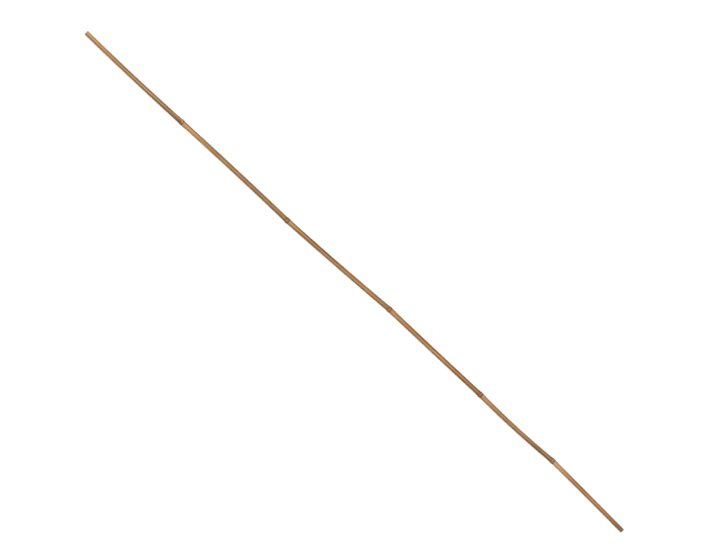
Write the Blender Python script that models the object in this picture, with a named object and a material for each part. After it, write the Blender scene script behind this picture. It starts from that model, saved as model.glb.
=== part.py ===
# A bamboo cane: one sawn length of a slim culm, lying on a flat surface.
#
# The culm lies along X, its butt end at -X and its tip end at +X. It is one piece, with a ledge and a
# swollen ridge at each joint, a bud above each ledge with a groove running on from it, a slight bend
# at each joint, and a pith hole in each sawn end. Four joints rest on the surface at z = 0.

import math

import bmesh
import bpy

# Driving dimensions, in metres. Lists run from the butt end to the tip end.
STRETCHES = (0.1595, 0.1603, 0.2042, 0.2217, 0.2367, 0.2176)
DIAMETERS = (0.0070, 0.0077, 0.0079, 0.0080, 0.0081, 0.0079, 0.0075)
SIDEWAYS = (-0.0023, -0.0073, -0.0049, -0.0042, 0.0050, 0.0066, 0.0073)
LIFTS = (0.0014, 0.0, 0.0007, 0.0, 0.0, 0.0, 0.0022)
SIDE_BOWS = (-0.0003, 0.0020, 0.0003, 0.0007, -0.0009, 0.0010)
UP_BOWS = (0.0006, 0.0008, 0.0009, 0.0011, 0.0012, 0.0007)

# Shape of a joint. Distances run from the ledge that the sheath left, towards the tip.
FLARE_HEIGHT, FLARE_REACH = 0.00025, 0.0100
LEDGE_HEIGHT, LEDGE_REACH = 0.00022, 0.0006
RIDGE_HEIGHT, RIDGE_REACH = 0.00062, 0.0020
LEDGE_TO_RIDGE = 0.0035
WAIST_DEPTH = 0.00012
BEND_REACH = 0.006

# Buds sit on alternate sides. Angles run from +Y towards +Z, so 90 degrees is straight up.
BUD_ANGLES = tuple(math.radians(a) for a in (100, 292, 112, 303, 125))
BUD_HEIGHT, BUD_REACH, LEDGE_TO_BUD = 0.0009, 0.0014, 0.0022
RIDGE_ARCH, ARCH_HALF_ANGLE = 0.0014, math.radians(34)
GROOVE_DEPTH, GROOVE_HALF_ANGLE = 0.00042, math.radians(26)
GROOVE_START, GROOVE_FULL, GROOVE_END = 0.0032, 0.0065, 0.036

# The section is slightly oval, and the oval turns once in OVAL_TURN.
OVAL_SHARE, OVAL_TURN = 0.013, 0.9

# Sawn ends: how far each cut leans, and the pith holes, which stop at the first joint's wall.
BUTT_CUT, TIP_CUT = math.radians(3), math.radians(-5)
BUTT_HOLE_RADIUS, TIP_HOLE_RADIUS = 0.0012, 0.0016
JOINT_WALL = 0.004
HOLE_OVERRUN = 0.004

# A hole's rounded bottom, in shares of its radius: how far short of the bottom, and how wide there
HOLE_BOTTOM = ((0.4, 0.8), (0.0, 0.4))

# The spots that the cane rests on are this deep in the ridges.
REST_DEPTH = 0.00025
REST_BLOCK_SIZE = (1.32, 0.12, 0.010)

# How finely the surface is divided
SIDES, HOLE_SIDES = 32, 10
FINE_RINGS = (
    -0.0140, -0.0090, -0.0060, -0.0040, -0.0024, -0.0013, -0.0007, -0.0003, 0.0, 0.0004,
    0.0009, 0.0015, 0.0021, 0.0028, 0.0035, 0.0042, 0.0049, 0.0058, 0.0070, 0.0090, 0.0125, 0.0180,
)
PLAIN_RING_GAP = 0.030
HOLE_RING_GAP = 0.025
WELD = 0.00001
SHARP_ANGLE = math.radians(40)

BAMBOO_COLOR = (0.41, 0.23, 0.105, 1.0)
BAMBOO_ROUGHNESS = 0.42

ENDS_AND_JOINTS = tuple(sum(STRETCHES[:i]) for i in range(len(STRETCHES) + 1))
LENGTH = ENDS_AND_JOINTS[-1]
JOINTS = ENDS_AND_JOINTS[1:-1]
ENDS_AND_BENDS = (0.0, *(joint + LEDGE_TO_RIDGE for joint in JOINTS), LENGTH)


def bell(distance, reach):
    return math.exp(-((distance / reach) ** 2))


def stretch_of(along, marks):
    """The stretch between marks that holds this place, and the share of it that is passed."""
    index = 0
    while index < len(marks) - 2 and along > marks[index + 1]:
        index += 1
    return index, (along - marks[index]) / (marks[index + 1] - marks[index])


def blended(values, index, share):
    return values[index] + (values[index + 1] - values[index]) * share


def plain_radius(along):
    """Radius of the culm with no joints: it tapers, and each stretch is slimmest in its middle."""
    index, share = stretch_of(along, ENDS_AND_JOINTS)
    waist = WAIST_DEPTH * math.sin(math.pi * share) ** 2
    return blended(DIAMETERS, index, share) / 2 - waist


def joint_swell(past, turn):
    """How far a joint stands out, this far past its ledge and this angle round from its bud.

    The ridge runs round the culm and arches towards the tip over the bud.
    """
    to_ridge = LEDGE_TO_RIDGE + RIDGE_ARCH * bell(turn, ARCH_HALF_ANGLE)
    flare = FLARE_HEIGHT * bell(past, FLARE_REACH)
    ledge = LEDGE_HEIGHT * bell(past, LEDGE_REACH)
    ridge = RIDGE_HEIGHT * bell(past - to_ridge, RIDGE_REACH)
    return flare + ledge + ridge


def groove_strength(past):
    """0 to 1: the groove deepens fast past the bud and then fades out towards the tip."""
    if past <= GROOVE_START or past >= GROOVE_END:
        return 0.0
    if past < GROOVE_FULL:
        return (past - GROOVE_START) / (GROOVE_FULL - GROOVE_START)
    return (GROOVE_END - past) / (GROOVE_END - GROOVE_FULL)


def bud_relief(past, turn, radius):
    """The bud's knob and the groove past it, at this angle round the culm from the bud's own."""
    across = radius * turn
    knob = BUD_HEIGHT * bell(past - LEDGE_TO_BUD, BUD_REACH) * bell(across, BUD_REACH)
    groove = GROOVE_DEPTH * groove_strength(past) * bell(turn, GROOVE_HALF_ANGLE)
    return knob - groove


def outer_radius(along, angle):
    radius = plain_radius(along)
    oval = OVAL_SHARE * math.cos(2 * (angle - 2 * math.pi * along / OVAL_TURN))
    total = radius * (1 + oval)
    for joint, bud_angle in zip(JOINTS, BUD_ANGLES, strict=True):
        turn = math.remainder(angle - bud_angle, 2 * math.pi)
        total += joint_swell(along - joint, turn) + bud_relief(along - joint, turn, radius)
    return total


def axis_heights():
    """Height of the culm's axis at each end and joint, with the ridges' rest spots at z = 0."""
    ends = (0, len(LIFTS) - 1)
    swell = joint_swell(LEDGE_TO_RIDGE, math.pi) - REST_DEPTH
    return [
        DIAMETERS[i] / 2 + (0.0 if i in ends else swell) + LIFTS[i] for i in range(len(LIFTS))
    ]


def kinked_axis(along):
    """Sideways place and height of the axis, bending sharply at the joints' ridges."""
    index, share = stretch_of(along, ENDS_AND_BENDS)
    bow = 4 * share * (1 - share)
    side = blended(SIDEWAYS, index, share) + SIDE_BOWS[index] * bow
    height = blended(axis_heights(), index, share) + UP_BOWS[index] * bow
    return side, height


def axis_place(along):
    """The axis with each bend eased over a short reach."""
    side = height = 0.0
    for shift, weight in ((-BEND_REACH, 0.25), (0.0, 0.5), (BEND_REACH, 0.25)):
        place = kinked_axis(min(max(along + shift, 0.0), LENGTH))
        side += weight * place[0]
        height += weight * place[1]
    return side, height


def culm_stations():
    """Where the rings of the surface lie: close together at the joints and wide apart between."""
    stations = [0.0]
    for joint in (*JOINTS, LENGTH):
        start = stations[-1]
        first = joint if joint == LENGTH else joint + FINE_RINGS[0]
        count = round((first - start) / PLAIN_RING_GAP)
        stations += [start + (first - start) * (i + 1) / count for i in range(count)]
        if joint != LENGTH:
            stations += [joint + ring for ring in FINE_RINGS[1:]]
    return stations


def make_straight_tube(name, stations, radii, sides, collection):
    """A closed tube along X, made a mesh with its caps welded on."""
    curve = bpy.data.curves.new(name, "CURVE")
    curve.dimensions = "3D"
    curve.bevel_depth = max(radii)
    curve.bevel_resolution = (sides - 4) // 2
    curve.use_fill_caps = True
    spline = curve.splines.new("POLY")
    spline.points.add(len(stations) - 1)
    for point, along, radius in zip(spline.points, stations, radii, strict=True):
        point.co = (along, 0.0, 0.0, 1.0)
        point.radius = radius / curve.bevel_depth
    guide = bpy.data.objects.new(name + "_guide", curve)
    collection.objects.link(guide)
    evaluated = guide.evaluated_get(bpy.context.evaluated_depsgraph_get())
    mesh = bpy.data.meshes.new_from_object(evaluated)
    tube = bpy.data.objects.new(name, mesh)
    tube.matrix_world = guide.matrix_world
    collection.objects.link(tube)
    bpy.data.objects.remove(guide)
    shape = bmesh.new()
    shape.from_mesh(mesh)
    bmesh.ops.remove_doubles(shape, verts=shape.verts, dist=WELD)
    bmesh.ops.recalc_face_normals(shape, faces=shape.faces)
    shape.to_mesh(mesh)
    shape.free()
    return tube


def cut_lean(along):
    """How far a vertex moves along X per metre above the axis, at the sawn ends only."""
    if along < WELD:
        return math.tan(BUTT_CUT)
    if along > LENGTH - WELD:
        return math.tan(TIP_CUT)
    return 0.0


def make_culm(collection):
    """The outer surface: a tube, given the culm's relief ring by ring and laid along its axis."""
    stations = culm_stations()
    radii = [plain_radius(along) for along in stations]
    culm = make_straight_tube("cane", stations, radii, SIDES, collection)
    for vertex in culm.data.vertices:
        along, y, z = vertex.co
        angle = math.atan2(z, y)
        radius = outer_radius(along, angle)
        side, height = axis_place(along)
        across, up = radius * math.cos(angle), radius * math.sin(angle)
        vertex.co = (along + cut_lean(along) * up, side + across, height + up)
    return culm


def make_hole_cutter(name, mouth, bottom, radius, collection):
    """A pith hole with a rounded bottom, from past the sawn end at mouth to the joint's wall."""
    inwards = math.copysign(1.0, bottom - mouth)
    start = mouth - inwards * HOLE_OVERRUN
    count = round(abs(bottom - start) / HOLE_RING_GAP)
    straight = [start + (bottom - inwards * radius - start) * i / count for i in range(count + 1)]
    stations = straight + [bottom - inwards * radius * short for short, _ in HOLE_BOTTOM]
    radii = [radius] * len(straight) + [radius * width for _, width in HOLE_BOTTOM]
    if inwards < 0:
        stations.reverse()
        radii.reverse()
    cutter = make_straight_tube(name, stations, radii, HOLE_SIDES, collection)
    for vertex in cutter.data.vertices:
        side, height = axis_place(vertex.co.x)
        vertex.co.y += side
        vertex.co.z += height
    return cutter


def make_rest_cutter(collection):
    """A block whose top is the resting surface, z = 0."""
    bpy.ops.mesh.primitive_cube_add(size=1.0)
    cutter = bpy.context.object
    cutter.name = "rest_cutter"
    cutter.scale = REST_BLOCK_SIZE
    cutter.location = (LENGTH / 2, 0.0, -REST_BLOCK_SIZE[2] / 2)
    for owner in cutter.users_collection:
        owner.objects.unlink(cutter)
    collection.objects.link(cutter)
    return cutter


def subtract(body, cutter):
    cutter.hide_render = True
    cutter.display_type = "WIRE"
    cut = body.modifiers.new(cutter.name, "BOOLEAN")
    cut.operation = "DIFFERENCE"
    cut.solver = "EXACT"
    cut.object = cutter


def make_bamboo_material():
    material = bpy.data.materials.new("bamboo")
    material.use_nodes = True
    shader = material.node_tree.nodes["Principled BSDF"]
    shader.inputs["Base Color"].default_value = BAMBOO_COLOR
    shader.inputs["Roughness"].default_value = BAMBOO_ROUGHNESS
    shader.inputs["Metallic"].default_value = 0.0
    return material


def centre_on_origin(culm, cutters):
    """Moves everything alike, so that the cane's box is centred on the origin in X and Y."""
    xs = [vertex.co.x for vertex in culm.data.vertices]
    ys = [vertex.co.y for vertex in culm.data.vertices]
    middle_x, middle_y = (min(xs) + max(xs)) / 2, (min(ys) + max(ys)) / 2
    for item in (culm, *cutters):
        item.location.x -= middle_x
        item.location.y -= middle_y


def new_collection(name):
    collection = bpy.data.collections.new(name)
    bpy.context.scene.collection.children.link(collection)
    return collection


def main():
    for item in list(bpy.data.objects):
        bpy.data.objects.remove(item)
    parts = new_collection("bamboo_cane")
    cutting = new_collection("cutters")
    culm = make_culm(parts)
    culm.data.materials.append(make_bamboo_material())
    culm.data.shade_smooth()
    culm.data.set_sharp_from_angle(angle=SHARP_ANGLE)
    cutters = [
        make_hole_cutter("butt_hole", 0.0, JOINTS[0] - JOINT_WALL, BUTT_HOLE_RADIUS, cutting),
        make_hole_cutter("tip_hole", LENGTH, JOINTS[-1] + JOINT_WALL, TIP_HOLE_RADIUS, cutting),
        make_rest_cutter(cutting),
    ]
    for cutter in cutters:
        subtract(culm, cutter)
    centre_on_origin(culm, cutters)


main()
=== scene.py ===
import math

import bmesh
import bpy
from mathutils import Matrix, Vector, noise


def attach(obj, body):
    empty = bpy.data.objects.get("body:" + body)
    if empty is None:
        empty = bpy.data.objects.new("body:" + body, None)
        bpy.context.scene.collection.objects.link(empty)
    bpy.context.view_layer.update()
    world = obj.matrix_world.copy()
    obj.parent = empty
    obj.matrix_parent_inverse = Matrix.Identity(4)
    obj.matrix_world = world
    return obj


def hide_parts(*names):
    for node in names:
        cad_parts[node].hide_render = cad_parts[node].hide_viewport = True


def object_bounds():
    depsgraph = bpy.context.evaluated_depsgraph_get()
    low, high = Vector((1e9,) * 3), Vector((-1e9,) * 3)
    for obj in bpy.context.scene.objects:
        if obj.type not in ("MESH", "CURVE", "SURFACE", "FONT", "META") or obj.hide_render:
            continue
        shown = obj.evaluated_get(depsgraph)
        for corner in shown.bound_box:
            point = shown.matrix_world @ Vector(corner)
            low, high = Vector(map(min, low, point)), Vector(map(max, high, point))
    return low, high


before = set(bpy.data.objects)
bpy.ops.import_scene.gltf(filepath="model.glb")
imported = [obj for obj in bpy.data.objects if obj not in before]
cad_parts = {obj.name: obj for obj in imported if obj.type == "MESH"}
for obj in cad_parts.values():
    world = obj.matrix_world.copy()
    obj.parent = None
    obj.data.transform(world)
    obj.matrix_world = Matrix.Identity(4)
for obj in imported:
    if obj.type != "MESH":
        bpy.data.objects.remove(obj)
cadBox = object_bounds()
print("frame loaded")

# The culm's plan in metres, from the butt end at -X to the tip end. The frame's solid has the same form.
culm = {
    "stretches": (0.1595, 0.1603, 0.2042, 0.2217, 0.2367, 0.2176),  # from end to joint, and joint to joint
    "diameters": (0.0070, 0.0077, 0.0079, 0.0080, 0.0081, 0.0079, 0.0075),
    "sideways": (-0.0023, -0.0073, -0.0049, -0.0042, 0.0050, 0.0066, 0.0073),
    "lifts": (0.0014, 0.0, 0.0007, 0.0, 0.0, 0.0, 0.0022),  # off the floor, at the ends and joints
    "sideBows": (-0.0003, 0.0020, 0.0003, 0.0007, -0.0009, 0.0010),
    "upBows": (0.0006, 0.0008, 0.0009, 0.0011, 0.0012, 0.0007),
    "waist": 0.00012,  # how much slimmer the middle of each stretch is
    "bendReach": 0.006,
    "ovalShare": 0.013,
    "ovalTurn": 0.9,
    "restDepth": 0.00025,  # of the flat spots that it lies on
    "sides": 90,
    "plainGap": 0.0028,  # between the rings of the surface, away from joints
    "wave": 0.00006, "waveLength": 0.017, "waveLobes": 1.3,  # slow unevenness of the rind
    "ribs": 0.000022, "ribLength": 0.11, "ribLobes": 6.5,  # soft lengthwise ribs
    "sharpAngle": math.radians(55),  # past which an edge isn't shaded smooth
}
millimetres = 1000  # in a metre

# The surface's rings at a joint: from, to and gap, past the ledge that the sheath left, and at an end
jointSpacing = (
    (-0.020, -0.006, 0.0010),
    (-0.006, -0.0012, 0.0004),
    (-0.0012, 0.0006, 0.0001),
    (0.0006, 0.0080, 0.0002),
    (0.0080, 0.0200, 0.0006),
    (0.0200, 0.0400, 0.0013),
)
endRings = (0.0, 0.00015, 0.0003, 0.0005, 0.0008, 0.0012, 0.0018, 0.0026, 0.0036, 0.0050, 0.0070)

joint = {
    "reliefStart": -0.03, "reliefMargin": 0.004,  # outside them a joint doesn't change the surface
    "flare": 0.00025, "flareReach": 0.0100,
    "ledge": 0.00022, "ledgeReach": 0.0006, "ledgeDrop": 0.00020,
    "ridge": 0.00062, "ridgeReach": 0.0020, "ledgeToRidge": 0.0035,
    "ridgeArch": 0.0014, "archHalfAngle": math.radians(34),
    "wander": 0.00018, "wanderLobes": 1.7,  # how the ledge wanders along the culm
    "budDip": 0.0005, "budDipHalfAngle": 0.6,  # and how it dips below the bud
    "lip": 0.00010, "lipPush": 0.00022,  # the ragged edge of the ledge, outwards and towards the tip
    "lipBefore": 0.0005, "lipPast": 0.00010, "lipPushReach": 0.00011,
    "raggedLobes": 3.1, "fineLobes": 11,
    "wrinkle": 0.000025, "wrinkleLength": 0.00055,
    "wrinklesGrow": (0.0003, 0.0009), "wrinklesFade": (0.0022, 0.0032),
}

bud = {
    "angles": (100, 292, 112, 303, 125),  # in degrees from +Y towards +Z
    "height": 0.0009, "reach": 0.0014, "pastLedge": 0.0022,
    "fullness": 1.25, "flatTop": 0.95,
    "eyes": (1.0, 0.45, 0.30, 0.50, 0.75),  # how far each bud is worn to a dimple round a stub; the dimple is painted dark, partly the bud scar's own brown and partly painted shade
    "eyeDepth": 0.00058, "eyeReach": 0.00095, "stub": 0.00042, "stubReach": 0.00045,
    "scaleStart": 0.0008, "scaleLength": 0.0062, "scaleHalfWidth": 0.0021, "scalePoint": 0.62,
    "scaleEdge": (-0.0001, 0.00025), "scaleRise": 0.00020, "keel": 0.00010, "keelReach": 0.0004,
    "grooveDepth": 0.00042, "grooveHalfAngle": math.radians(26),
    "grooveStart": 0.0032, "grooveFull": 0.0065, "grooveEnd": 0.036,
}

sawn = {
    "buttLean": math.tan(math.radians(3)), "tipLean": math.tan(math.radians(-5)),
    "leanReach": 0.003,
    "buttHole": 0.0012, "tipHole": 0.0016, "jointWall": 0.004,
    "rimRounding": 0.00010,
    "rimShares": (1.0, 0.90, 0.76, 0.62, 0.48, 0.34, 0.20, 0.08, 0.0),  # rings from the rim to the hole
    "holeDepths": (0.0003, 0.001, 0.003, 0.008, 0.020, 0.045, 0.075, 0.105, 0.135, 0.150),
    "bottomShares": (0.35, 0.70, 0.92),  # rings of the hole's rounded bottom
    "faceDepth": 0.001,  # the rings nearer than this to the face lean with it
    "sawMark": 0.00001, "sawGap": 0.0013, "sawTurn": 0.5,
    "rimRoughness": 0.00006, "rimLobes": 9, "rimSearch": 0.01,  # the last in millimetres
    "splinter": 0.0007, "splinterAngles": ((31, 122, 255), (66, 198)),  # butt, tip
    "splinterHalfAngle": math.radians(4.5),
}

marks = [sum(culm["stretches"][:i]) for i in range(len(culm["stretches"]) + 1)]  # ends and joints
length = marks[-1]
ledges = marks[1:-1]
bends = [0.0] + [ledge + joint["ledgeToRidge"] for ledge in ledges] + [length]
budAngles = [math.radians(angle) for angle in bud["angles"]]


def bell(distance, reach):
    return math.exp(-((distance / reach) ** 2))


def eased(value, low, high):  # 0 up to low, 1 past high
    share = min(max((value - low) / (high - low), 0.0), 1.0)
    return share * share * (3 - 2 * share)


def stretchAt(along, places):
    index = 0
    while index < len(places) - 2 and along > places[index + 1]:
        index += 1
    return index, (along - places[index]) / (places[index + 1] - places[index])


def between(values, index, share):
    return values[index] + (values[index + 1] - values[index]) * share


def plainRadius(along):
    index, share = stretchAt(along, marks)
    return between(culm["diameters"], index, share) / 2 - culm["waist"] * math.sin(math.pi * share) ** 2


def nearestLedge(along):
    return min(range(len(ledges)), key=lambda i: abs(along - ledges[i]))


def turnFromBud(angle, index):
    return math.remainder(angle - budAngles[index], 2 * math.pi)


def ringNoise(angle, lobes, place):  # unevenness round the culm, which closes on itself
    return noise.noise(Vector((lobes * math.cos(angle), lobes * math.sin(angle), place)))


def raggedness(angle, index):  # 0 to 1, round the ledge of a joint
    coarse = ringNoise(angle, joint["raggedLobes"], 7.3 * index)
    fine = ringNoise(angle, joint["fineLobes"], 5.1 * index)
    return min(max(0.5 + 0.6 * coarse + 0.4 * fine, 0.0), 1.0)


def pastWavyLedge(along, angle, index):
    # The ledge wanders a little round the culm and dips below the bud.
    wander = joint["wander"] * ringNoise(angle, joint["wanderLobes"], 3.7 * index)
    dip = joint["budDip"] * bell(turnFromBud(angle, index), joint["budDipHalfAngle"])
    return along - ledges[index] + wander + dip


def jointSwell(past, turn):
    toRidge = joint["ledgeToRidge"] + joint["ridgeArch"] * bell(turn, joint["archHalfAngle"])
    ledgeReach = joint["ledgeReach"] if past < 0 else joint["ledgeDrop"]
    flare = joint["flare"] * bell(past, joint["flareReach"])
    ledge = joint["ledge"] * bell(past, ledgeReach)
    return flare + ledge + joint["ridge"] * bell(past - toRidge, joint["ridgeReach"])


def grooveStrength(past):
    if past <= bud["grooveStart"] or past >= bud["grooveEnd"]:
        return 0.0
    if past < bud["grooveFull"]:
        return (past - bud["grooveStart"]) / (bud["grooveFull"] - bud["grooveStart"])
    return (bud["grooveEnd"] - past) / (bud["grooveEnd"] - bud["grooveFull"])


def budScale(past, across):  # 1 on the flat scale that runs from the bud to a point, pressed to the culm
    run = (past - bud["scaleStart"]) / bud["scaleLength"]
    if not 0 < run < 1:
        return 0.0
    halfWidth = bud["scaleHalfWidth"] * math.sin(math.pi * run ** bud["scalePoint"])
    return eased(halfWidth - abs(across), *bud["scaleEdge"])


def budRelief(past, turn, radius, eye):
    across = radius * turn
    beyond = past - bud["pastLedge"]
    swell = bud["fullness"] * bell(beyond, bud["reach"]) * bell(across, bud["reach"])
    knob = bud["height"] * min(swell, bud["flatTop"])
    fromMiddle = math.hypot(beyond, across)
    dimple = bud["eyeDepth"] * bell(fromMiddle, bud["eyeReach"])
    dimple -= bud["stub"] * bell(fromMiddle, bud["stubReach"])
    scale = budScale(past, across) * (1 - eye)
    scaleRelief = scale * (bud["scaleRise"] + bud["keel"] * bell(across, bud["keelReach"]))
    groove = bud["grooveDepth"] * grooveStrength(past) * bell(turn, bud["grooveHalfAngle"])
    return knob - eye * dimple + scaleRelief - groove


def lengthwiseNoise(along, angle, scale, lobes):
    return noise.noise(Vector((along / scale, lobes * math.cos(angle), lobes * math.sin(angle))))


def surfaceRadius(along, angle, ringRadius):
    oval = culm["ovalShare"] * math.cos(2 * (angle - 2 * math.pi * along / culm["ovalTurn"]))
    total = ringRadius * (1 + oval)
    index = nearestLedge(along)
    past = along - ledges[index]
    if joint["reliefStart"] < past < bud["grooveEnd"] + joint["reliefMargin"]:
        turn = turnFromBud(angle, index)
        wavy = pastWavyLedge(along, angle, index)
        total += jointSwell(wavy, turn) + budRelief(past, turn, ringRadius, bud["eyes"][index])
        lipReach = joint["lipBefore"] if wavy < 0 else joint["lipPast"]
        total += joint["lip"] * raggedness(angle, index) * bell(wavy, lipReach)
        wrinkled = eased(wavy, *joint["wrinklesGrow"]) * (1 - eased(wavy, *joint["wrinklesFade"]))
        total += joint["wrinkle"] * wrinkled * math.sin(2 * math.pi * wavy / joint["wrinkleLength"])
    total += culm["wave"] * lengthwiseNoise(along, angle, culm["waveLength"], culm["waveLobes"])
    total += culm["ribs"] * lengthwiseNoise(along, angle, culm["ribLength"], culm["ribLobes"])
    return total


def lipPush(along, angle):  # how far the ledge's ragged edge leans towards the tip
    index = nearestLedge(along)
    wavy = pastWavyLedge(along, angle, index)
    return joint["lipPush"] * raggedness(angle, index) * bell(wavy, joint["lipPushReach"])


def axisHeights():
    swell = jointSwell(joint["ledgeToRidge"], math.pi) - culm["restDepth"]
    last = len(culm["lifts"]) - 1
    swells = [0.0 if i in (0, last) else swell for i in range(last + 1)]
    return [culm["diameters"][i] / 2 + swells[i] + culm["lifts"][i] for i in range(last + 1)]


heights = axisHeights()


def kinkedAxis(along):
    index, share = stretchAt(along, bends)
    bow = 4 * share * (1 - share)
    side = between(culm["sideways"], index, share) + culm["sideBows"][index] * bow
    return side, between(heights, index, share) + culm["upBows"][index] * bow


def axisPlace(along):  # sideways place and height, with each bend eased
    side = height = 0.0
    for shift, weight in ((-culm["bendReach"], 0.25), (0.0, 0.5), (culm["bendReach"], 0.25)):
        place = kinkedAxis(min(max(along + shift, 0.0), length))
        side += weight * place[0]
        height += weight * place[1]
    return side, height


def leanAt(along):  # the sawn faces lean, and the rind's rings near them follow
    butt = sawn["buttLean"] * (1 - eased(along, 0.0, sawn["leanReach"]))
    tip = sawn["tipLean"] * eased(along, length - sawn["leanReach"], length)
    return butt + tip


def filled(places, start, end, gap):  # adds even steps from start, past it, to end
    count = max(round((end - start) / gap), 1)
    places += [start + (end - start) * (i + 1) / count for i in range(count)]


def ringPlaces():
    places = list(endRings)
    for ledge in ledges:
        filled(places, places[-1], ledge + jointSpacing[0][0], culm["plainGap"])
        for start, end, gap in jointSpacing:
            filled(places, ledge + start, ledge + end, gap)
    filled(places, places[-1], length - endRings[-1], culm["plainGap"])
    places += [length - place for place in reversed(endRings[:-1])]
    return places


# What the materials read from the surface. Lengths are in millimetres.
fields = {
    "grain": "float_vector",  # the culm straightened: along, and the two ways across
    "pastLedge": "float",
    "budAcross": "float",  # round the culm from the bud's line
    "budScale": "float",
    "jointRings": "float_vector",  # red-brown zone, pale band, pink
    # In budLook the dark eye is partly painted shade, and the dark channel is painted shade
    "budLook": "float_vector",  # dark eye, pale groove, dark channel
    "tone": "float_vector",  # brightness, warmth, and 1 near a joint
}

# The finish of each stretch and joint, from butt to tip
finish = {
    "brightness": ((0.89, 1.18), (0.70, 1.21), (0.90, 1.02), (0.84, 0.98), (0.85, 1.20), (0.61, 1.31)),
    "warmth": ((0.45, 0.40), (0.40, 0.40), (0.70, 1.00), (0.95, 0.85), (0.40, 0.35), (0.40, 0.15)),
    "redBrown": (0.45, 0.95, 0.40, 0.85, 0.45),
    "paleBand": (0.80, 0.20, 0.25, 0.25, 0.15),
    "pink": (0.05, 0.40, 0.45, 0.75, 0.15),
    "groovePale": (0.35, 0.50, 0.40, 0.50, 1.00),
    # channel: how dark the painted shade is in each joint's channel
    "paintedChannelShade": (0.75, 0.65, 0.30, 0.50, 0.40),
    "wavyWithin": 0.05,  # of a joint, the finish follows the ledge's wavy line
    "jointFade": (0.040, 0.055),  # where a joint's finish gives way to the plain rind
}


def paintFields(vertex, layers, along, angle, radius):
    index = nearestLedge(along)
    past = along - ledges[index]
    wavy = pastWavyLedge(along, angle, index) if abs(past) < finish["wavyWithin"] else past
    stretch, share = stretchAt(along, marks)
    brightness = between(finish["brightness"][stretch], 0, share)
    warmth = between(finish["warmth"][stretch], 0, share)
    straightened = Vector((along, radius * math.cos(angle), radius * math.sin(angle)))
    vertex[layers["grain"]] = straightened * millimetres
    vertex[layers["pastLedge"]] = wavy * millimetres
    across = radius * turnFromBud(angle, index)
    vertex[layers["budAcross"]] = abs(across) * millimetres
    eye = bud["eyes"][index]
    vertex[layers["budScale"]] = budScale(past, across) * (1 - eye)
    vertex[layers["jointRings"]] = [finish[name][index] for name in ("redBrown", "paleBand", "pink")]
    vertex[layers["budLook"]] = (eye, finish["groovePale"][index], finish["paintedChannelShade"][index])
    vertex[layers["tone"]] = (brightness, warmth, 1 - eased(abs(past), *finish["jointFade"]))


# The map is cut into strips, one above the other, so that the long culm fills its square.
strips = {
    "count": 7, "rows": 7.6,
    "margin": 0.01, "width": 0.975, "spare": 0.003,  # spare is in metres, past each end of a strip
    "gap": 0.03, "fill": 0.93,
}

# In the top row, at butt and tip: the middles of the sawn faces, and where the holes' walls start
topRow = {
    "faces": (0.035, 0.105), "perMillimetre": 0.0083,
    "holes": (0.150, 0.560), "holeReach": 0.00195, "holeMargin": 0.1, "holeTall": 0.8,
    "turnRoom": 1.05,  # a wall's map runs a little past half a turn each way
}


def mapRind(face, uvLayer, places):
    corners = [(loop, loop[uvLayer].uv.copy()) for loop in face.loops]
    columns = len(places) - 1
    middle = sum(places[round(uv.x * columns)] for loop, uv in corners) / len(corners)
    strip = min(int(middle / length * strips["count"]), strips["count"] - 1)
    reach = length / strips["count"]
    for loop, uv in corners:
        along = places[round(uv.x * columns)] - strip * reach
        across = strips["width"] * (along + strips["spare"]) / (reach + 2 * strips["spare"])
        up = strip + strips["gap"] + strips["fill"] * uv.y
        loop[uvLayer].uv = (strips["margin"] + across, up / strips["rows"])


def mapEnd(face, layers, end, kind, angles):
    # Sawn faces lie flat in the top row, and the holes' walls beside them.
    row = strips["count"] / strips["rows"]
    tall = 1 - row
    middle = Vector((0, 0))
    for vertex in face.verts:
        middle += Vector((math.cos(angles[vertex]), math.sin(angles[vertex])))
    facing = math.atan2(middle.y, middle.x)
    halfTurn = math.pi * topRow["turnRoom"]
    for loop in face.loops:
        along, across, up = loop.vert[layers["grain"]]
        if kind == "sawnFace":
            centre = Vector((topRow["faces"][end], row + tall / 2))
            loop[layers["map"]].uv = centre + Vector((across, up)) * topRow["perMillimetre"]
            continue
        turn = facing + math.remainder(angles[loop.vert] - facing, 2 * math.pi)
        depth = abs(along - end * length * millimetres)
        height = topRow["holeMargin"] + topRow["holeTall"] * (turn + halfTurn) / (2 * halfTurn)
        place = topRow["holes"][end] + topRow["holeReach"] * depth
        loop[layers["map"]].uv = (place, row + tall * height)


def rolledRind(shape, places, layers):
    # A flat grid is rolled up: its columns become rings and its rows run along the culm.
    uvLayer = layers["map"]
    columns, sides = len(places) - 1, culm["sides"]
    bmesh.ops.create_grid(shape, x_segments=columns, y_segments=sides, size=1.0, calc_uvs=True)
    for face in shape.faces:
        mapRind(face, uvLayer, places)
    rings = [(plainRadius(along), *axisPlace(along), leanAt(along)) for along in places]
    for vertex in shape.verts:
        column = round((vertex.co.x + 1) / 2 * columns)
        side = round((vertex.co.y + 1) / 2 * sides) % sides
        along = places[column]
        angle = 2 * math.pi * side / sides
        ringRadius, sideways, height, lean = rings[column]
        radius = surfaceRadius(along, angle, ringRadius)
        across, up = radius * math.cos(angle), radius * math.sin(angle)
        paintFields(vertex, layers, along, angle, radius)
        vertex.co = (along + lean * up + lipPush(along, angle), sideways + across, max(height + up, 0.0))
    bmesh.ops.remove_doubles(shape, verts=shape.verts, dist=0.000001)


def splinterAt(angle, end):
    push = 0.0
    for degrees in sawn["splinterAngles"][end]:
        turn = math.remainder(angle - math.radians(degrees), 2 * math.pi)
        push += sawn["splinter"] * bell(turn, sawn["splinterHalfAngle"])
    return push


surfaces = ("rind", "sawnFace", "pithHole")  # in the order of the materials


def cornersOf(edges):  # each vertex once, in the edges' order
    return list(dict.fromkeys(vertex for edge in edges for vertex in edge.verts))


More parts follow.
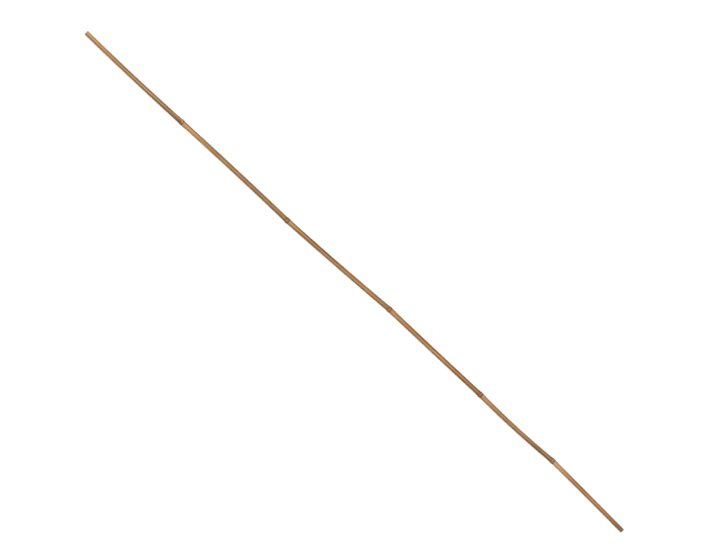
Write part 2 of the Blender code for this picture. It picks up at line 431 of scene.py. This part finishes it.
def rimOf(shape, layers, mouth):  # the open edge at one end
    place = mouth * millimetres
    near = {vertex for vertex in shape.verts if abs(vertex[layers["grain"]].x - place) < sawn["rimSearch"]}
    return [edge for edge in shape.edges if edge.is_boundary and near.issuperset(edge.verts)]


def sawnEnd(shape, layers, end):
    # end is 0 at the butt and 1 at the tip. Rings run in from the rim, over the sawn face, down the hole.
    mouth = end * length
    inwards = 1 - 2 * end
    sideways, height = axisPlace(mouth)
    lean = leanAt(mouth)
    holeRadius = sawn["tipHole"] if end else sawn["buttHole"]
    depthLimit = culm["stretches"][-end] - sawn["jointWall"]
    rim = rimOf(shape, layers, mouth)
    angles = {}
    outer = {}
    for vertex in cornersOf(rim):
        grain = vertex[layers["grain"]]
        angles[vertex] = math.atan2(grain.z, grain.y)
        outer[vertex] = math.hypot(grain.y, grain.z) / millimetres
    for vertex, angle in angles.items():
        rough = sawn["rimRoughness"] * ringNoise(angle, sawn["rimLobes"], 2.2 + end)
        vertex.co.x += inwards * (sawn["rimRounding"] - rough - splinterAt(angle, end))

    def nextRing(edges, radiusAt, depthAt, kind):
        # Pushes the open edge one ring on, and lays the new ring by its angle round the axis.
        known = {vertex.co.copy().freeze(): vertex for vertex in cornersOf(edges)}
        made = bmesh.ops.extrude_edge_only(shape, edges=edges)["geom"]
        faces = [item for item in made if isinstance(item, bmesh.types.BMFace)]
        fresh = [item for item in made if isinstance(item, bmesh.types.BMVert)]
        for vertex in fresh:
            source = known[vertex.co.copy().freeze()]
            angles[vertex], outer[vertex] = angles[source], outer[source]
        for vertex in fresh:
            angle = angles[vertex]
            radius, depth = radiusAt(angle, outer[vertex]), depthAt(angle, outer[vertex])
            across, up = radius * math.cos(angle), radius * math.sin(angle)
            along = mouth + inwards * depth
            side, rise = (sideways, height) if kind == "sawnFace" else axisPlace(along)
            tilt = lean if depth < sawn["faceDepth"] else 0.0
            vertex.co = (along + tilt * up, side + across, rise + up)
            vertex[layers["grain"]] = Vector((along, across, up)) * millimetres
        for face in faces:
            face.material_index = surfaces.index(kind)
            mapEnd(face, layers, end, kind, angles)
        return [edge for edge in made if isinstance(edge, bmesh.types.BMEdge) and edge.is_boundary]

    def faceDepth(share):
        def depthAt(angle, rimRadius):
            radius = holeRadius + (rimRadius - holeRadius) * share
            place = radius * math.sin(angle + sawn["sawTurn"])  # the saw ran across, a little askew
            return sawn["sawMark"] * (1 + math.sin(2 * math.pi * place / sawn["sawGap"])) * (share < 1)
        return depthAt

    edges = rim
    for share in sawn["rimShares"]:
        rounding = sawn["rimRounding"] if share == 1.0 else 0.0
        edges = nextRing(
            edges,
            lambda angle, rimRadius: holeRadius + (rimRadius - rounding - holeRadius) * share,
            faceDepth(share),
            "sawnFace",
        )
    for depth in (*sawn["holeDepths"], depthLimit - holeRadius):
        edges = nextRing(
            edges,
            lambda angle, rimRadius: holeRadius,
            lambda angle, rimRadius: depth,
            "pithHole",
        )
    for part in sawn["bottomShares"]:
        rest = math.sqrt(1 - part ** 2)
        edges = nextRing(
            edges,
            lambda angle, rimRadius: holeRadius * rest,
            lambda angle, rimRadius: depthLimit - holeRadius * (1 - part),
            "pithHole",
        )
    bottom = mouth + inwards * depthLimit
    bmesh.ops.pointmerge(shape, verts=cornersOf(edges), merge_co=(bottom, *axisPlace(bottom)))


def bambooCulm():
    shape = bmesh.new()
    layers = {name: getattr(shape.verts.layers, kind).new(name) for name, kind in fields.items()}
    layers["map"] = shape.loops.layers.uv.new("OFBake")
    rolledRind(shape, ringPlaces(), layers)
    sawnEnd(shape, layers, 0)
    sawnEnd(shape, layers, 1)
    ys = [vertex.co.y for vertex in shape.verts]
    sideShift = (cadBox[0][1] + cadBox[1][1] - min(ys) - max(ys)) / 2
    bmesh.ops.translate(shape, verts=shape.verts, vec=(-length / 2, sideShift, 0.0))
    bmesh.ops.recalc_face_normals(shape, faces=shape.faces)
    mesh = bpy.data.meshes.new("bambooCulm")
    shape.to_mesh(mesh)
    shape.free()
    mesh.shade_smooth()
    mesh.set_sharp_from_angle(angle=culm["sharpAngle"])
    piece = bpy.data.objects.new("bambooCulm", mesh)
    bpy.context.scene.collection.objects.link(piece)
    return piece


cane = bambooCulm()
print("culm modelled:", len(cane.data.polygons), "faces")


# Materials. Colours are linear.
rindColours = {
    "straw": (0.324, 0.169, 0.059, 1),
    "amber": (0.327, 0.133, 0.018, 1),
    "olive": (0.261, 0.162, 0.040, 1),
    "rosy": (0.368, 0.153, 0.067, 1),
    "streakDark": (0.118, 0.046, 0.009, 1),
    "streakPale": (0.462, 0.276, 0.113, 1),
    "redBrown": (0.120, 0.042, 0.018, 1),
    "wax": (0.485, 0.298, 0.128, 1),
    "pink": (0.355, 0.150, 0.076, 1),
    "glow": (1.000, 0.940, 0.720, 1),
    "line": (0.035, 0.016, 0.008, 1),
    "eyeRing": (0.500, 0.300, 0.130, 1),
    "soot": (0.060, 0.040, 0.026, 1),
}

# The plain rind's streaks: the noise, where in it they begin and are full, how strong, and their colour
rindStreaks = (
    ("hues", 0.52, 0.70, 0.60, "rosy"),
    ("hues", 0.48, 0.32, 0.50, "olive"),
    ("longStreaks", 0.50, 0.68, 0.60, "streakPale"),
    ("longStreaks", 0.50, 0.30, 0.65, "streakDark"),
    ("fibres", 0.55, 0.80, 0.50, "streakPale"),
    ("fibres", 0.45, 0.22, 0.65, "streakDark"),
    ("fineFibres", 0.40, 0.70, 0.32, "streakDark"),
    ("mottle", 0.52, 0.72, 0.42, "redBrown"),
    ("mottle", 0.46, 0.28, 0.40, "streakPale"),
)

# Its streaks and patches, drawn out along the fibres: scale along and across, detail, roughness, shift
rindGrain = {
    "longStreaks": (0.008, 0.42, 2.0, 0.5, 0.0),
    "fibres": (0.010, 2.6, 3.0, 0.6, 4.0),
    "fineFibres": (0.035, 7.0, 2.0, 0.6, 9.0),
    "mottle": (0.060, 0.26, 5.0, 0.66, 17.0),
    "hues": (0.035, 0.16, 2.0, 0.5, 31.0),
    "edges": (0.30, 1.4, 3.0, 0.6, 23.0),
    "patches": (0.10, 0.28, 2.0, 0.5, 41.0),
}

# A joint's zones, in millimetres past the ledge: where each begins, is full, fades and ends
jointZones = {
    "redBrown": (3.2, 4.8, 6.5, 11.5),
    "pink": (-17.0, -2.5, 0.5, 4.0),
    "wax": (-52.0, -2.0, -0.9, -0.2),
    # where the channel's painted shade lies
    "paintedShadeInChannel": (0.1, 0.6, 1.6, 3.0),
    "crest": (2.6, 3.4, 3.9, 4.8),
    "scar": (-0.25, 0.02, 0.30, 0.60),
    "groove": (3.5, 6.0, 20.0, 36.0),
    "grooveSide": (1.0, 1.5, 1.8, 2.8),  # from the bud's line
    "eyeRing": (1.1, 1.6, 2.2, 3.4),  # from the bud's middle
}

# The rind's low satin sheen: roughness along the fibres, and what wax, spots and dull places add to it
rindSheen = {
    "specular": 0.28, "roughness": (0.36, 0.50), "waxy": 0.12, "spotted": 0.15, "dull": 0.45,
    "bumpStrength": 0.35, "bumpDepth": 0.00008,
}

endColours = {
    "woodPale": (0.640, 0.480, 0.280, 1),
    "woodStained": (0.470, 0.330, 0.180, 1),
    "bundle": (0.200, 0.110, 0.045, 1),
    "sawMark": (0.680, 0.540, 0.350, 1),
    "outerRim": (0.200, 0.105, 0.040, 1),
    "pithDark": (0.10, 0.065, 0.036, 1),
    "pithPale": (0.30, 0.23, 0.15, 1),
}


def feed(tree, socket, value):
    if isinstance(value, bpy.types.NodeSocket):
        tree.links.new(value, socket)
    else:
        socket.default_value = value


def addNode(tree, kind, inputs=None, **settings):
    made = tree.nodes.new("ShaderNode" + kind)
    for name, value in settings.items():
        setattr(made, name, value)
    for name, value in (inputs or {}).items():
        feed(tree, made.inputs[name], value)
    return made


def maths(tree, operation, first, second=0.0, clamp=False):
    return addNode(tree, "Math", {0: first, 1: second}, operation=operation, use_clamp=clamp).outputs[0]


def ranged(tree, value, low, high, newLow=0.0, newHigh=1.0):  # an eased step from newLow to newHigh
    inputs = {"Value": value, "From Min": low, "From Max": high, "To Min": newLow, "To Max": newHigh}
    return addNode(tree, "MapRange", inputs, interpolation_type="SMOOTHSTEP").outputs["Result"]


def window(tree, value, start, full, fade, end):  # 0, up to 1 between full and fade, and back to 0
    rise = ranged(tree, value, start, full)
    return maths(tree, "MULTIPLY", rise, ranged(tree, value, fade, end, 1.0, 0.0))


def mixed(tree, share, first, second, blend="MIX"):
    made = addNode(tree, "Mix", {0: share, 6: first, 7: second}, data_type="RGBA", blend_type=blend)
    return made.outputs[2]


def attribute(tree, name, output="Fac"):
    return addNode(tree, "Attribute", attribute_name=name).outputs[output]


def parts(tree, vector):
    return addNode(tree, "SeparateXYZ", {0: vector}).outputs


def stretchedNoise(tree, vector, alongScale, acrossScale, detail, roughness, shift):
    moved = addNode(tree, "Mapping", {
        "Vector": vector,
        "Location": (shift, shift * 0.7, shift * 1.3),
        "Scale": (alongScale, acrossScale, acrossScale),
    })
    inputs = {"Vector": moved.outputs[0], "Scale": 1.0, "Detail": detail, "Roughness": roughness}
    return addNode(tree, "TexNoise", inputs).outputs[0]


def newMaterial(name):
    material = bpy.data.materials.new(name)
    material.use_nodes = True
    return material, material.node_tree, material.node_tree.nodes["Principled BSDF"]


def product(tree, *values):
    total = values[0]
    for value in values[1:]:
        total = maths(tree, "MULTIPLY", total, value)
    return total


def painted(tree, colour, share, finishColour):
    return mixed(tree, share, colour, rindColours[finishColour])


def addBump(tree, shader, height, strength, distance):
    bump = addNode(tree, "Bump", {"Strength": strength, "Distance": distance, "Height": height})
    tree.links.new(bump.outputs[0], shader.inputs["Normal"])


def roughened(tree, value, noises, amount):  # moves a value up and down, so that what it draws is ragged
    moved = product(tree, maths(tree, "SUBTRACT", noises["edges"], 0.5), amount)
    return maths(tree, "ADD", value, moved)


def plainRind(tree, noises, warmth):  # warmer or paler by stretch, streaked along its fibres
    colour = mixed(tree, warmth, rindColours["straw"], rindColours["amber"])
    for source, begin, full, most, finishColour in rindStreaks:
        share = ranged(tree, noises[source], begin, full, 0.0, most)
        colour = painted(tree, colour, share, finishColour)
    return colour


def spotsAndScratches(tree, colour, grain, noises):
    # Scattered small dark spots, and hairline scratches that run a little askew
    spotPlace = addNode(tree, "Mapping", {"Vector": grain, "Scale": (0.16, 0.30, 0.30)}).outputs[0]
    spots = addNode(tree, "TexVoronoi", {"Vector": spotPlace, "Scale": 1.0, "Randomness": 1.0})
    spotChoice = parts(tree, spots.outputs["Color"])[0]
    spotEdge = maths(tree, "ADD", spots.outputs["Distance"], product(tree, noises["fineFibres"], 0.12))
    someSpots = ranged(tree, spotChoice, 0.74, 0.90, 0.0, 0.80)
    spot = product(tree, ranged(tree, spotEdge, 0.14, 0.09), someSpots)
    colour = painted(tree, colour, spot, "soot")
    askew = {"Vector": grain, "Rotation": (0.0, 0.035, -0.05), "Scale": (0.035, 9.0, 9.0)}
    scratchPlace = addNode(tree, "Mapping", askew).outputs[0]
    hairs = addNode(tree, "TexNoise", {"Vector": scratchPlace, "Scale": 1.0, "Detail": 1.0}).outputs[0]
    somePlaces = ranged(tree, noises["patches"], 0.50, 0.62, 0.0, 0.55)
    scratches = product(tree, ranged(tree, hairs, 0.72, 0.80), somePlaces)
    return painted(tree, colour, scratches, "streakPale"), spot, scratches


def jointFinish(tree, colour, past, near, noises):
    # From the butt side on: pale wax, the dark scar, painted shade in the channel, a worn crest and a
    # red-brown zone.
    # The zones' edges are ragged, and they are uneven round the culm.
    redBrown, paleBand, pink = parts(tree, attribute(tree, "jointRings", "Vector"))
    paintedChannelShade = parts(tree, attribute(tree, "budLook", "Vector"))[2]
    ragged = roughened(tree, past, noises, 5.0)
    uneven = product(tree, ranged(tree, noises["patches"], 0.36, 0.62, 0.35, 1.0), near)
    zone = product(tree, window(tree, ragged, *jointZones["redBrown"]), redBrown, uneven, 0.80)
    pinkZone = product(tree, window(tree, ragged, *jointZones["pink"]), pink, uneven, 0.85)
    wax = product(tree, window(tree, ragged, *jointZones["wax"]), paleBand, near, 0.80)
    # Painted shade in the channel, the hollow between the ledge and the ridge
    paintedShadeInChannel = product(tree, window(tree, past, *jointZones["paintedShadeInChannel"]), near, paintedChannelShade)
    crest = product(tree, window(tree, past, *jointZones["crest"]), near, 0.30)
    scar = product(tree, window(tree, past, *jointZones["scar"]), near, 0.90)
    for share, finishColour in (
        (zone, "redBrown"), (pinkZone, "pink"), (wax, "wax"),
        (paintedShadeInChannel, "redBrown"), (crest, "streakPale"), (scar, "line"),
    ):
        colour = painted(tree, colour, share, finishColour)
    return colour, wax, paintedShadeInChannel, scar


def budFinish(tree, colour, past, near, noises):
    # The bud: its scale, a dark eye in a pale ring, and a pale line down its groove. The eye's dark is
    # partly the bud scar's own brown and partly painted shade in its dimple.
    budAcross = attribute(tree, "budAcross")
    eyeDarkAndPaintedShade, groovePale = parts(tree, attribute(tree, "budLook", "Vector"))[:2]
    scale = attribute(tree, "budScale")
    colour = painted(tree, colour, product(tree, scale, near, 0.55), "redBrown")
    scaleEdge = product(tree, window(tree, scale, 0.02, 0.25, 0.35, 0.60), near, 0.60)
    colour = painted(tree, colour, scaleEdge, "streakPale")
    beyond = maths(tree, "SUBTRACT", past, bud["pastLedge"] * millimetres)
    squares = maths(tree, "ADD", product(tree, beyond, beyond), product(tree, budAcross, budAcross))
    fromBud = maths(tree, "SQRT", squares)
    stub = ranged(tree, fromBud, 0.60, 0.15)
    fromBud = roughened(tree, fromBud, noises, 1.6)
    ring = product(tree, window(tree, fromBud, *jointZones["eyeRing"]), near, eyeDarkAndPaintedShade, 0.60)
    colour = painted(tree, colour, ring, "eyeRing")
    # The eye: the bud scar's own dark brown, with painted shade in its dimple
    pastEye = maths(tree, "SUBTRACT", fromBud, product(tree, eyeDarkAndPaintedShade, 1.15))
    eyeShare = ranged(tree, eyeDarkAndPaintedShade, 0.0, 0.8, 0.25, 1.0)
    eye = product(tree, ranged(tree, pastEye, 0.45, -0.20), near, eyeShare)
    flecks = ranged(tree, noises["fineFibres"], 0.40, 0.75, 0.0, 0.7)
    scarBrownAndPaintedShade = mixed(tree, flecks, rindColours["line"], rindColours["redBrown"])
    scarBrownAndPaintedShade = painted(tree, scarBrownAndPaintedShade, product(tree, stub, 0.35), "straw")
    colour = mixed(tree, eye, colour, scarBrownAndPaintedShade)
    groove = product(tree, window(tree, past, *jointZones["groove"]), near, groovePale)
    grooveLine = product(tree, groove, ranged(tree, budAcross, 1.5, 0.5), 0.80)
    colour = painted(tree, colour, grooveLine, "streakPale")
    grooveSide = product(tree, groove, window(tree, budAcross, *jointZones["grooveSide"]), 0.45)
    return painted(tree, colour, grooveSide, "streakDark"), eye


def rindMaterial():
    material, tree, shader = newMaterial("bambooRind")
    grain = attribute(tree, "grain", "Vector")
    past = attribute(tree, "pastLedge")
    brightness, warmth, near = parts(tree, attribute(tree, "tone", "Vector"))
    noises = {name: stretchedNoise(tree, grain, *values) for name, values in rindGrain.items()}
    colour = plainRind(tree, noises, warmth)
    colour, spot, scratches = spotsAndScratches(tree, colour, grain, noises)

    # Each stretch's own depth of colour and brightness
    colour = mixed(tree, product(tree, warmth, 0.9), colour, rindColours["glow"], "MULTIPLY")
    shade = addNode(tree, "CombineXYZ", {0: brightness, 1: brightness, 2: brightness}).outputs[0]
    colour = mixed(tree, 1.0, colour, shade, "MULTIPLY")
    colour, wax, paintedShadeInChannel, scar = jointFinish(tree, colour, past, near, noises)
    colour, eye = budFinish(tree, colour, past, near, noises)
    tree.links.new(colour, shader.inputs["Base Color"])

    # Dull in the scar, less so in the bud's eye and in the channel past the scar, where shade is painted
    dull = maths(tree, "MAXIMUM", scar, product(tree, eye, 0.7))
    dull = maths(tree, "MAXIMUM", dull, product(tree, paintedShadeInChannel, 0.6))
    rough = ranged(tree, noises["fibres"], 0.3, 0.7, *rindSheen["roughness"])
    rough = maths(tree, "ADD", rough, product(tree, wax, rindSheen["waxy"]))
    rough = maths(tree, "ADD", rough, product(tree, spot, rindSheen["spotted"]))
    rough = maths(tree, "ADD", rough, product(tree, dull, rindSheen["dull"]), clamp=True)
    tree.links.new(rough, shader.inputs["Roughness"])
    shader.inputs["Specular IOR Level"].default_value = rindSheen["specular"]
    fibreRelief = product(tree, noises["fibres"], 0.6)
    relief = maths(tree, "ADD", fibreRelief, product(tree, noises["fineFibres"], 0.4))
    relief = maths(tree, "SUBTRACT", relief, product(tree, scratches, 0.4))
    addBump(tree, shader, relief, rindSheen["bumpStrength"], rindSheen["bumpDepth"])
    return material


def bundles(tree, across, perMillimetre):  # distance from the nearest of the culm's fibre bundles
    inputs = {"Vector": across, "Scale": perMillimetre, "Randomness": 0.7}
    return addNode(tree, "TexVoronoi", inputs, voronoi_dimensions="2D").outputs["Distance"]


def sawnMaterial():
    # Fibre bundles show as dots, close together near the rind and further apart round the hole.
    material, tree, shader = newMaterial("sawnBamboo")
    grain = attribute(tree, "grain", "Vector")
    acrossPlace, upPlace = parts(tree, grain)[1:]
    across = addNode(tree, "CombineXYZ", {0: acrossPlace, 1: upPlace}).outputs[0]
    fromAxis = addNode(tree, "VectorMath", {0: across}, operation="LENGTH").outputs["Value"]
    nearRind = ranged(tree, fromAxis, 2.2, 3.1)
    close, wide = bundles(tree, across, 4.0), bundles(tree, across, 2.2)
    dots = addNode(tree, "Mix", {0: nearRind, 2: wide, 3: close}, data_type="FLOAT").outputs[0]
    stain = stretchedNoise(tree, grain, 0.0, 0.6, 3.0, 0.6, 3.0)
    askew = {"Vector": grain, "Rotation": (0.5, 0.0, 0.0), "Scale": (0.0, 0.25, 6.0)}
    sawPlace = addNode(tree, "Mapping", askew).outputs[0]
    sawMarks = addNode(tree, "TexNoise", {"Vector": sawPlace, "Scale": 1.0, "Detail": 2.0}).outputs[0]
    stained = ranged(tree, stain, 0.35, 0.7)
    colour = mixed(tree, stained, endColours["woodPale"], endColours["woodStained"])
    for share, endColour in (
        (ranged(tree, dots, 0.38, 0.16, 0.0, 0.60), "bundle"),
        (ranged(tree, sawMarks, 0.50, 0.65, 0.0, 0.30), "sawMark"),
        (ranged(tree, fromAxis, 2.9, 3.8, 0.0, 0.50), "outerRim"),
    ):
        colour = mixed(tree, share, colour, endColours[endColour])
    tree.links.new(colour, shader.inputs["Base Color"])
    shader.inputs["Roughness"].default_value = 0.8
    height = maths(tree, "ADD", dots, product(tree, sawMarks, 1.2))
    addBump(tree, shader, height, 0.6, 0.00010)
    return material


def pithMaterial():
    material, tree, shader = newMaterial("pithHole")
    grain = attribute(tree, "grain", "Vector")
    shreds = stretchedNoise(tree, grain, 0.12, 1.6, 3.0, 0.6, 6.0)
    share = ranged(tree, shreds, 0.35, 0.65)
    colour = mixed(tree, share, endColours["pithDark"], endColours["pithPale"])
    tree.links.new(colour, shader.inputs["Base Color"])
    shader.inputs["Roughness"].default_value = 0.9
    return material


for finished in (rindMaterial(), sawnMaterial(), pithMaterial()):
    cane.data.materials.append(finished)
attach(cane, "root")
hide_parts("cane")
print("finishes made")

# The photograph: where the cane's two ends lie in it, in pixels, and the lens that it was taken with.
photograph = {"width": 710, "height": 560, "tipPixel": (86.3, 32.6), "buttPixel": (622.5, 531.0)}
lens = {"length": 100.0, "sensor": 36.0}


def placeCamera():
    buttSide, buttHeight = axisPlace(0.0)
    tipSide, tipHeight = axisPlace(length)
    chord = Vector((length, tipSide - buttSide))
    tipPixel, buttPixel = Vector(photograph["tipPixel"]), Vector(photograph["buttPixel"])
    across = tipPixel - buttPixel
    pictureAngle = math.atan2(-across.y, across.x)
    turn = math.atan2(chord.y, chord.x) - pictureAngle
    metresPerPixel = chord.length / across.length
    height = metresPerPixel * photograph["width"] * lens["length"] / lens["sensor"]
    middle = (tipPixel + buttPixel) / 2
    right = Vector((math.cos(turn), math.sin(turn)))
    up = Vector((-math.sin(turn), math.cos(turn)))
    place = Vector((0.0, (tipSide + buttSide) / 2))
    place -= right * (middle.x - photograph["width"] / 2) * metresPerPixel
    place += up * (middle.y - photograph["height"] / 2) * metresPerPixel
    camera = bpy.data.objects.new("camera", bpy.data.cameras.new("camera"))
    camera.data.lens = lens["length"]
    camera.data.sensor_width = lens["sensor"]
    camera.data.clip_start = 0.01
    camera.data.clip_end = 200
    camera.location = (place.x, place.y, height + (tipHeight + buttHeight) / 2)
    camera.rotation_euler = (0.0, 0.0, turn)
    bpy.context.scene.collection.objects.link(camera)
    bpy.context.scene.camera = camera


studio = {
    "floorColour": (0.82, 0.82, 0.815, 1), "floorReach": 40.0, "floorDrop": 0.0001,
    "floorGlow": 0.55,  # the share of its light that the floor throws back on the cane
    "lampStrength": 3.90, "lampSpread": math.radians(34), "lampTilt": math.radians(3),
    "lampFrom": math.radians(-95),  # the side that the light leans from, as an angle from +X
    "fillColour": (1.0, 0.99, 0.975, 1), "fillStrength": 0.12,
}


def makeStudio():
    shape = bmesh.new()
    bmesh.ops.create_grid(shape, x_segments=1, y_segments=1, size=studio["floorReach"])
    bmesh.ops.translate(shape, verts=shape.verts, vec=(0.0, 0.0, -studio["floorDrop"]))
    mesh = bpy.data.meshes.new("floor")
    shape.to_mesh(mesh)
    shape.free()
    floor = bpy.data.objects.new("floor", mesh)
    material, tree, shader = newMaterial("paleFloor")
    shader.inputs["Roughness"].default_value = 0.95
    shader.inputs["Specular IOR Level"].default_value = 0.1
    seen = addNode(tree, "LightPath").outputs["Is Camera Ray"]
    dimmed = (*(studio["floorGlow"] * part for part in studio["floorColour"][:3]), 1)
    tree.links.new(mixed(tree, seen, dimmed, studio["floorColour"]), shader.inputs["Base Color"])
    mesh.materials.append(material)
    bpy.context.scene.collection.objects.link(floor)
    lamp = bpy.data.objects.new("overheadLight", bpy.data.lights.new("overheadLight", "SUN"))
    lamp.data.energy = studio["lampStrength"]
    lamp.data.angle = studio["lampSpread"]
    lamp.rotation_euler = (studio["lampTilt"], 0.0, studio["lampFrom"] + math.pi / 2)
    bpy.context.scene.collection.objects.link(lamp)
    world = bpy.data.worlds.new("studio")
    world.use_nodes = True
    tree = world.node_tree
    light = tree.nodes["Background"]
    light.inputs["Color"].default_value = studio["fillColour"]
    light.inputs["Strength"].default_value = studio["fillStrength"]
    backdrop = addNode(tree, "Background", {"Color": (1, 1, 1, 1), "Strength": 1.0})
    seen = addNode(tree, "LightPath").outputs["Is Camera Ray"]
    both = addNode(tree, "MixShader", {0: seen, 1: light.outputs[0], 2: backdrop.outputs[0]})
    tree.links.new(both.outputs[0], tree.nodes["World Output"].inputs["Surface"])
    bpy.context.scene.world = world
    bpy.context.scene.view_settings.view_transform = "Standard"


placeCamera()
makeStudio()
print("camera and light placed")
